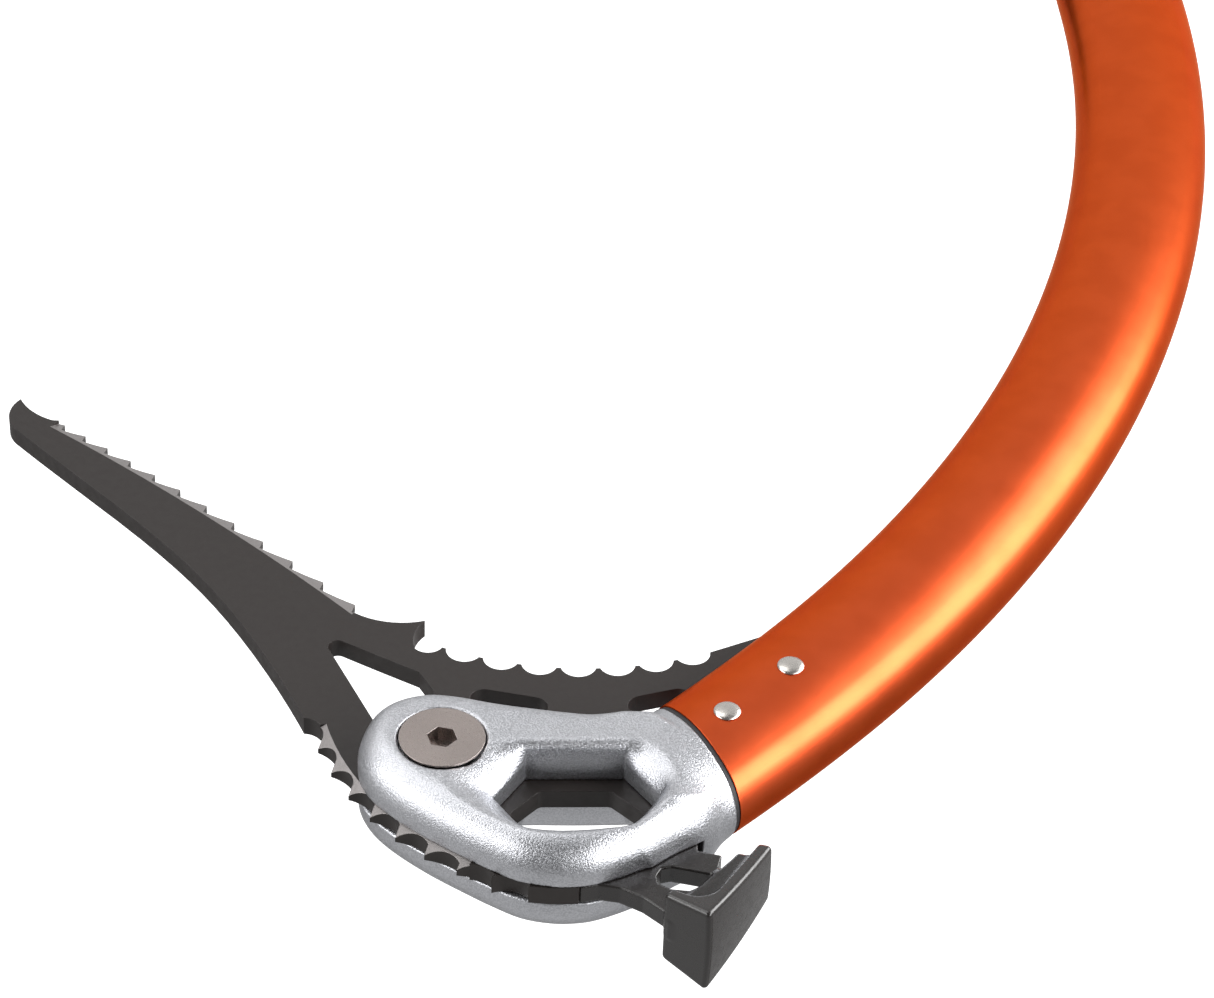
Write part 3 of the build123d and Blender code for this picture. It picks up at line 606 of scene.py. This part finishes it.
# ---------------------------------------------------------------- shaft
@dataclass
class Shaft(Piece):
    """The curved oval tube, its rivets and the dark ring in its joint with the head."""

    width: float = 29.5
    thickness: float = 20.0
    edge_radius: float = 8.6
    wall: float = 1.8
    neck_heading: float = 237.9
    joint_tilt: float = 14.2
    joint: Point = (-45.07, -14.58)
    bends: tuple[tuple[float, float], ...] = ((458.0, 4.0), (350.0, 44.1))
    straight: float = 145.0
    gasket: float = 1.0
    lead: float = 9.0
    around: int = 144
    step: float = 1.2

    def rails(self) -> tuple[np.ndarray, np.ndarray]:
        """Walk down the axis, from above the joint to the tube's end.

        Returns:
            Points along it and the heading at each.
        """
        start = BOLT + np.array([self.joint[0], 0, self.joint[1]])
        points, angles = [], []
        for back in np.arange(-self.lead, 0, self.step):
            points.append(start + heading(self.neck_heading) * back)
            angles.append(self.neck_heading)
        angle = self.neck_heading
        for radius, turn in self.bends:
            steps = max(2, int(radians(turn) * radius / self.step))
            hub = start - radius * heading(angle - 90)
            for i in range(steps):
                now = angle + turn * i / steps
                points.append(hub + radius * heading(now - 90))
                angles.append(now)
            angle += turn
            start = hub + radius * heading(angle - 90)
        for run in np.linspace(0, self.straight, 60):
            points.append(start + heading(angle) * run)
            angles.append(angle)
        return np.array(points), np.array(angles)

    def section(self, grow: float) -> np.ndarray:
        """Go once round the oval.

        Args:
            grow: how far outside the tube's outer wall.

        Returns:
            Points as (across the axis in the axe's plane, across the axe).
        """
        half = self.width / 2 - self.edge_radius
        rise = self.thickness / 2 - self.edge_radius
        crown = (half**2 - rise**2) / (2 * rise)
        limit = np.arctan2(half, crown)
        loop = []
        quarter = self.around // 4
        for angle in np.linspace(0, pi / 2 - limit, quarter, endpoint=False):
            reach = self.edge_radius + grow
            loop.append((half + reach * cos(angle), reach * sin(angle)))
        for angle in np.linspace(pi / 2 - limit, pi / 2, quarter):
            reach = self.thickness / 2 + crown + grow
            loop.append((reach * cos(angle), reach * sin(angle) - crown))
        first = np.array(loop)
        second = (first * [-1, 1])[::-1][1:]
        upper = np.concatenate([first, second])
        lower = (upper * [1, -1])[::-1][1:-1]
        return np.concatenate([upper, lower])

    def tube(self, grow: float) -> tuple[np.ndarray, int, int]:
        """Cover one wall with points, cut back to the tilted joint.

        Args:
            grow: how far outside the tube's outer wall.

        Returns:
            The points by row and column, the number of rows and the number of columns.
        """
        points, angles = self.rails()
        loop = self.section(grow)
        grid = []
        normal = heading(self.neck_heading - self.joint_tilt)
        start = BOLT + np.array([self.joint[0], 0, self.joint[1]]) + normal * self.gasket / 2
        for centre, angle in zip(points, angles):
            side = heading(angle + 90)
            row = centre + loop[:, :1] * side + loop[:, 1:] * np.array([0, 1, 0])
            behind = (row - start) @ normal
            slide = np.where(behind < 0, -behind / (heading(angle) @ normal), 0)
            grid.append(row + slide[:, None] * heading(angle))
        return np.array(grid), len(points), len(loop)

    def build(self, dye: bpy.types.Material, rivet: bpy.types.Material, ring: bpy.types.Material) -> None:
        """Make the tube and its rivets, and finish the ring.

        Args:
            dye: the tube's finish.
            rivet: the rivets' finish.
            ring: the dark ring's finish.
        """
        outer, rows, columns = self.tube(0)
        inner = self.tube(-self.wall)[0]
        points = np.concatenate([outer.reshape(-1, 3), inner.reshape(-1, 3)])
        faces, size = [], rows * columns
        for i in range(rows - 1):
            for j in range(columns):
                k = (j + 1) % columns
                a, b = i * columns + j, i * columns + k
                c, d = b + columns, a + columns
                faces.append((a, b, c, d))
                faces.append((size + d, size + c, size + b, size + a))
        for i, flip in ((0, False), (rows - 1, True)):
            for j in range(columns):
                k = (j + 1) % columns
                face = (i * columns + j, size + i * columns + j, size + i * columns + k, i * columns + k)
                faces.append(face[::-1] if flip else face)
        tube = new_mesh("shaft_tube", points, faces)
        mark_sharp(tube, 40)
        self.place(tube, dye, "shaft")
        for number in (1, 2):
            self.place(self.rivet(f"head_rivet_{number}"), rivet, f"head_rivet_{number}")
        self.paint(ring, "head_gasket")

    def rivet(
        self, node: str, head: float = 2.6, height: float = 0.8, shank: float = 2.0
    ) -> bpy.types.Object:
        """Make a rivet with two low domes, where the CAD has it.

        Args:
            node: the CAD rivet.
            head: radius of a dome.
            height: how far it stands out.
            shank: radius between the domes.

        Returns:
            The rivet.
        """
        centre, seat = centre_of(node), self.thickness / 2
        profile = [(head * sin(a), seat + height * cos(a)) for a in np.linspace(0, pi / 2, 14)]
        profile += [(shank, seat - 0.1)]
        profile += [(r, -y) for r, y in profile[::-1]]
        return lathe(f"{node}_domed", centre, profile, 48)


def lathe(name: str, centre: np.ndarray, profile: Sequence[Point], count: int) -> bpy.types.Object:
    """Turn an outline about an axis across the axe.

    Args:
        name: the new object's name.
        centre: the middle of the axis.
        profile: the outline as (radius, y) points.
        count: how many steps make the turn.

    Returns:
        The object.
    """
    turn = np.linspace(0, 2 * pi, count, endpoint=False)
    rings = np.array([[(r * cos(a), y, r * sin(a)) for a in turn] for r, y in profile])
    points = rings.reshape(-1, 3) + centre
    faces = []
    for i in range(len(profile) - 1):
        for j in range(count):
            k = (j + 1) % count
            faces.append((i * count + j, i * count + k, (i + 1) * count + k, (i + 1) * count + j))
    return new_mesh(name, points, faces)


def mark_sharp(obj: bpy.types.Object, angle: float) -> None:
    """Shade an object smooth but for edges sharper than an angle in degrees."""
    obj.data.set_sharp_from_angle(angle=radians(angle))


# ---------------------------------------------------------------- head
@dataclass
class Head(Piece):
    """The forged head: two cheeks round a slot, a boss at the bolt, a flared window and a neck."""

    outline: tuple[Point, ...] = (
        (15.5, 0.6), (14.6, 5.2), (12.4, 8.8), (9.2, 11.8), (4.5, 14.8), (-1.7, 17.9), (-8.3, 20.6),
        (-14.5, 22.9), (-20.5, 24.6), (-26.3, 24.6), (-31.2, 23.4), (-35.5, 21.2), (-41.2, 16.4),
        (-46.0, 10.6), (-51.4, 3.2), (-57.6, -6.7), (-59.0, -9.5), (-50.0, -16.0), (-42.0, -16.5),
        (-36.2, -19.2), (-31.9, -17.4), (-26.5, -15.9), (-19.1, -14.9), (-7.8, -14.1), (0.4, -14.1),
        (6.5, -13.1), (11.4, -10.0), (14.5, -5.4),
    )
    sill: Point = (-24.3, -4.25)
    tilt: float = 14.9
    window: tuple[Point, ...] = ((-9.2, 0), (9.2, 0), (15.3, 9.2), (9.0, 19.8), (-9.0, 19.8), (-15.3, 9.2))
    flare: tuple[Point, ...] = (
        (-9.0, -0.6), (-12.4, -0.6), (-14.8, 1.2), (-16.6, 4.0), (-17.4, 7.6), (-15.8, 13.2),
        (-10.5, 19.6), (0.0, 22.2), (9.0, 21.4), (17.0, 16.8), (22.0, 11.0), (21.5, 5.4),
        (15.5, 0.4), (10.0, -0.6), (0.0, -0.5),
    )
    flare_depth: float = 4.6
    window_round: float = 1.6
    rim_round: float = 4.0
    crest_round: float = 6.6
    seat_radius: float = 8.15
    seat_depth: float = 3.2
    barrel_radius: float = 5.0
    cheek: float = 10.8
    slot: float = 2.1
    neck_reach: float = 22.0
    neck_taper: float = 4.5
    loft_length: float = 17.0
    slot_rear: float = 10.0
    step: float = 0.34

    def local(self, x: np.ndarray, z: np.ndarray) -> tuple[np.ndarray, np.ndarray]:
        """Measure from the window's sill.

        Args:
            x: places along the axe's X, from the bolt.
            z: places along its Z, from the bolt.

        Returns:
            The same places along the sill and up from it.
        """
        dx, dz = x - self.sill[0], z - self.sill[1]
        c, s = cos(radians(self.tilt)), sin(radians(self.tilt))
        return dx * c + dz * s, dz * c - dx * s

    def field(self, x: np.ndarray, y: np.ndarray, z: np.ndarray) -> np.ndarray:
        """Signed distance to the head.

        Args:
            x: where to measure, from the bolt's axis.
            y: where to measure, from the mid-plane.
            z: where to measure, from the bolt's axis.

        Returns:
            The distances, negative inside.
        """
        shaft = Shaft()
        y = np.abs(y)
        cheeks = polygon_field(smooth_loop(self.outline, 4), x, z)
        rounding = self.rim_round + (self.crest_round - self.rim_round) * step_up(z, -9.0, 7.0)
        body = round_max(cheeks, y - self.cheek, rounding)
        along = heading(shaft.neck_heading)
        dx, dz = x - shaft.joint[0], z - shaft.joint[1]
        run = dx * along[0] + dz * along[2]
        aside = dx * along[2] - dz * along[0]
        taper = self.neck_taper * step_up(-run, 9.0, self.neck_reach)
        oval = oval_field(aside, y, shaft.width, shaft.thickness, shaft.edge_radius)
        neck = np.maximum(oval + taper, -run - self.neck_reach)
        normal = heading(shaft.neck_heading - shaft.joint_tilt)
        end = dx * normal[0] + dz * normal[2]
        body = np.maximum(round_min(body, neck, 7.0 * step_up(-end, 1.0, 10.0)), y - self.cheek)
        lofted = step_up(run, -self.loft_length, -3.0) * step_up(aside, -9.0, 3.0)
        body = body + (neck - body) * lofted
        u, v = self.local(x, z)
        hole = polygon_field(self.window, u, v)
        mouth = polygon_field(smooth_loop(self.flare, 3), u, v)
        open_up = np.clip((y - 6.0) / self.flare_depth, 0, 1.25) ** 1.6
        hollow = hole * (1 - open_up) + mouth * open_up
        body = round_max(body, -hollow, self.window_round)
        reach = np.hypot(x, z)
        lead_in = np.clip(y - self.cheek + 0.5, 0, 2)
        seat = np.maximum(reach - self.seat_radius - lead_in, self.cheek - self.seat_depth - y)
        body = np.maximum(body, -seat)
        body = np.maximum(body, -np.maximum(reach - self.barrel_radius, y - self.cheek))
        body = round_max(body, end + shaft.gasket / 2, 0.3)
        groove = np.maximum(y - self.slot, end + self.slot_rear)
        return round_max(body, -groove, 0.25)

    def build(self, metal: bpy.types.Material) -> None:
        """Make the head's mesh and finish it."""
        low = np.array([-61.0, -11.6, -26.0])
        high = np.array([16.4, 11.6, 26.0])
        head = mesh_field("head_forging", self.field, low, high, self.step)
        head.data.transform(Matrix.Translation(Vector(BOLT) * MM))
        self.place(head, metal, "head")


# ---------------------------------------------------------------- hammer
@dataclass
class Hammer(Piece):
    """The web that shares the slot and the block with the striking face."""

    face_foot: Point = (-63.9, 8.4)
    face_top: Point = (-57.1, 32.0)
    foot_half: float = 6.7
    top_half: float = 9.7
    front_foot: Point = (6.3, 1.0)
    front_top: Point = (10.9, 22.4)
    web: float = 2.0
    web_outline: tuple[Point, ...] = (
        (-43.7, 1.2), (-31.5, 23.3), (-34.8, 21.6), (-38.6, 21.4), (-43.2, 22.8), (-47.4, 25.2),
        (-49.0, 27.6), (-55.0, 28.6), (-61.0, 10.0), (-57.6, 7.6), (-56.8, 12.0), (-55.6, 15.2),
        (-53.6, 17.4), (-50.8, 18.9), (-47.6, 19.3), (-45.0, 18.4), (-44.3, 16.6), (-44.8, 14.6),
        (-46.4, 13.7), (-54.7, 13.7), (-54.7, 8.5), (-50.2, 8.3), (-49.6, 5.6), (-50.5, 0.0),
        (-48.0, 1.2),
    )
    step: float = 0.26

    def field(self, x: np.ndarray, y: np.ndarray, z: np.ndarray) -> np.ndarray:
        """Signed distance to the hammer.

        Args:
            x: where to measure, from the bolt's axis.
            y: where to measure, from the mid-plane.
            z: where to measure, from the bolt's axis.

        Returns:
            The distances, negative inside.
        """
        y = np.abs(y)
        rise = np.array(self.face_top) - np.array(self.face_foot)
        height = float(np.hypot(*rise))
        ux, uz = rise / height
        dx, dz = x - self.face_foot[0], z - self.face_foot[1]
        v = dx * ux + dz * uz
        u = dx * uz - dz * ux
        share = np.clip(v / height, -0.2, 1.2)
        front = self.front_foot[0] + (self.front_top[0] - self.front_foot[0]) * share
        half = self.foot_half + (self.top_half - self.foot_half) * share - 0.14 * u
        crowned = 0.4 * ((y / 9) ** 2 + ((v - height / 2) / 13) ** 2) - 0.6
        top = v - height + 0.2 * u
        block = round_max(-u + crowned, u - front, 0.9)
        block = round_max(block, top, 1.0)
        block = round_max(block, -v + 0.1 * u, 1.0)
        block = round_max(block, y - half, 1.0)
        scoop = round_max(2.6 - u, self.web + 0.4 - y, 3.5)
        scoop = round_max(scoop, v - height + 3.6 + 0.1 * u, 4.5)
        block = round_max(block, -scoop, 0.7)
        plate = round_max(polygon_field(self.web_outline, x, z), y - self.web, 0.25)
        lug = np.maximum(np.hypot(x + 36.2, z - 14.2) - 2.6, y - self.web)
        return round_min(np.minimum(plate, lug), block, 0.8)

    def build(self, metal: bpy.types.Material) -> None:
        """Make the hammer's mesh and finish it."""
        low, high = np.array([-65.6, -10.2, -1.0]), np.array([-30.0, 10.2, 33.4])
        hammer = mesh_field("hammer_forging", self.field, low, high, self.step)
        hammer.data.transform(Matrix.Translation(Vector(BOLT) * MM))
        self.place(hammer, metal, "hammer")


# ---------------------------------------------------------------- studio
@dataclass(frozen=True)
class Softbox:
    """A soft lamp that faces the head from a direction."""

    name: str
    direction: tuple[float, float, float]
    distance: float
    size: tuple[float, float]
    watts: float
    aim: tuple[float, float, float] = (0.0, 0.0, 0.36)

    def hang(self) -> None:
        """Put the lamp in the scene, out of the camera's sight."""
        data = bpy.data.lights.new(self.name, "AREA")
        data.shape, data.size, data.size_y, data.energy = "RECTANGLE", self.size[0], self.size[1], self.watts
        lamp = bpy.data.objects.new(self.name, data)
        towards = Vector(self.direction).normalized()
        lamp.location = Vector(self.aim) + towards * self.distance
        lamp.rotation_euler = towards.to_track_quat("Z", "Y").to_euler()
        lamp.visible_camera = False
        bpy.context.scene.collection.objects.link(lamp)


@dataclass(frozen=True)
class Studio:
    """A white tent: a pale floor, a bright surround and soft lamps."""

    lamps: tuple[Softbox, ...] = (
        Softbox("side_strip", (-0.73, -0.44, -0.40), 0.42, (0.22, 0.44), 3.1, (0.02, 0.0, 0.46)),
        Softbox("front_soft", (0.75, -0.45, 0.50), 1.1, (0.5, 0.9), 9.0),
        Softbox("rear_soft", (-0.85, -0.35, 0.45), 1.1, (0.5, 0.9), 13.0),
        Softbox("low_fill", (0.6, -1.0, -0.2), 1.0, (0.8, 0.6), 5.0),
    )
    surround: float = 0.76
    dark: float = 0.16
    dark_side: tuple[float, float, float] = (-0.15, -0.62, 0.77)

    def build(self) -> None:
        """Put up the floor, the surround and the lamps."""
        world = bpy.data.worlds.new("white_tent")
        world.use_nodes = True
        tree = world.node_tree
        tree.nodes.clear()
        rays = tree.nodes.new("ShaderNodeLightPath")
        tent = tree.nodes.new("ShaderNodeBackground")
        seen = tree.nodes.new("ShaderNodeBackground")
        seen.inputs["Color"].default_value = (1, 1, 1, 1)
        seen.inputs["Strength"].default_value = 1.0
        choose = tree.nodes.new("ShaderNodeMixShader")
        out = tree.nodes.new("ShaderNodeOutputWorld")
        place = tree.nodes.new("ShaderNodeTexCoord")
        along = tree.nodes.new("ShaderNodeVectorMath")
        along.operation = "DOT_PRODUCT"
        along.inputs[1].default_value = Vector(self.dark_side).normalized()
        tree.links.new(place.outputs["Generated"], along.inputs[0])
        dim = tree.nodes.new("ShaderNodeMapRange")
        dim.interpolation_type = "SMOOTHSTEP"
        dimmed = {"From Min": 0.1, "From Max": 0.9, "To Min": self.surround, "To Max": self.dark}
        for key, value in dimmed.items():
            dim.inputs[key].default_value = value
        tree.links.new(along.outputs["Value"], dim.inputs["Value"])
        tree.links.new(dim.outputs["Result"], tent.inputs["Strength"])
        tree.links.new(rays.outputs["Is Camera Ray"], choose.inputs[0])
        tree.links.new(tent.outputs[0], choose.inputs[1])
        tree.links.new(seen.outputs[0], choose.inputs[2])
        tree.links.new(choose.outputs[0], out.inputs["Surface"])
        tent.inputs["Color"].default_value = (1, 1, 1, 1)
        bpy.context.scene.world = world
        bpy.context.scene.view_settings.view_transform = "Standard"
        for lamp in self.lamps:
            lamp.hang()
        low = START_BOUNDS[0][2]
        bpy.ops.mesh.primitive_plane_add(size=12, location=(0, 0, low - 0.001))
        floor = bpy.context.object
        floor.name = "floor"
        g = Graph("white_floor")
        shader = g.add("BsdfPrincipled", {"Base Color": (0.6, 0.6, 0.6, 1), "Roughness": 0.9})
        seen = g.add("LightPath").outputs["Is Camera Ray"]
        glow = g.add("Emission", {"Color": (1, 1, 1, 1), "Strength": g.ramp(seen, 0.0, 1.0, 0.0, 0.9)})
        both = g.add("AddShader", {0: shader.outputs[0], 1: glow.outputs[0]})
        g.add("OutputMaterial", {"Surface": both.outputs[0]})
        floor.data.materials.append(g.material)


@dataclass(frozen=True)
class Viewpoint:
    """The camera: where it aims, from which side and how far, and how it is rolled."""

    aim_from_bolt: tuple[float, float, float] = (-0.01114, 0.0, -0.08958)
    azimuth: float = -13.904
    elevation: float = 50.0
    distance: float = 0.8272
    roll: float = -159.897
    lens: float = 121.58

    def build(self) -> None:
        """Put the camera in the scene."""
        turn, tip, roll = radians(self.azimuth), radians(self.elevation), radians(self.roll)
        ahead = Vector((-sin(turn) * cos(tip), cos(turn) * cos(tip), -sin(tip)))
        right = ahead.cross(Vector((0, 0, 1))).normalized()
        up = right.cross(ahead)
        rolled = cos(roll) * right + sin(roll) * up
        upward = cos(roll) * up - sin(roll) * right
        data = bpy.data.cameras.new("camera")
        data.lens, data.sensor_width = self.lens, 36.0
        data.clip_start, data.clip_end = 0.01, 50.0
        camera = bpy.data.objects.new("camera", data)
        spot = Vector(BOLT) * MM + Vector(self.aim_from_bolt) - ahead * self.distance
        axes = Matrix((rolled, upward, -ahead)).transposed().to_4x4()
        camera.matrix_world = Matrix.Translation(spot) @ axes
        bpy.context.scene.collection.objects.link(camera)
        bpy.context.scene.camera = camera


def main() -> None:
    """Build every piece, the studio and the camera."""
    logging.basicConfig(level=logging.INFO, format="%(name)s: %(message)s")
    steel = CoatedSteel().build()
    stainless = Turned("stainless_turned", "#988f8b", tuple(BOLT)).build()
    screws = Turned("stainless_plain", "#b0aaa4").build()
    bright = Turned("bright_rivet", "#b3afaa", roughness=0.28).build()
    rubber = Moulded("grip_rubber", "#26262a", 0.62, 0.8, 0.08).build()
    plastic = Moulded("moulded_plastic", "#1f1f22", 0.42, 0.5, 0.05).build()
    ring = Moulded("joint_rubber", "#141416", 0.6, 0.4, 0.02).build()
    Shaft().build(Anodised().build(), bright, ring)
    Head().build(Blasted().build())
    Hammer().build(GlossCoat().build())
    rest = Piece()
    rest.paint(steel, "pick")
    rest.paint(stainless, "pick_bolt", "pick_nut")
    rest.paint(screws, "hand_rest_screw_left", "hand_rest_screw_right", "trigger_screw", "trigger_nut")
    rest.paint(bright, "spike_rivet_1", "spike_rivet_2", "end_plug", "spike")
    rest.paint(rubber, "grip", "trigger_liner")
    rest.paint(plastic, "grip_collar", "hand_rest", "trigger")
    Studio().build()
    Viewpoint().build()
    bpy.context.view_layer.update()


if __name__ == "__main__":
    main()
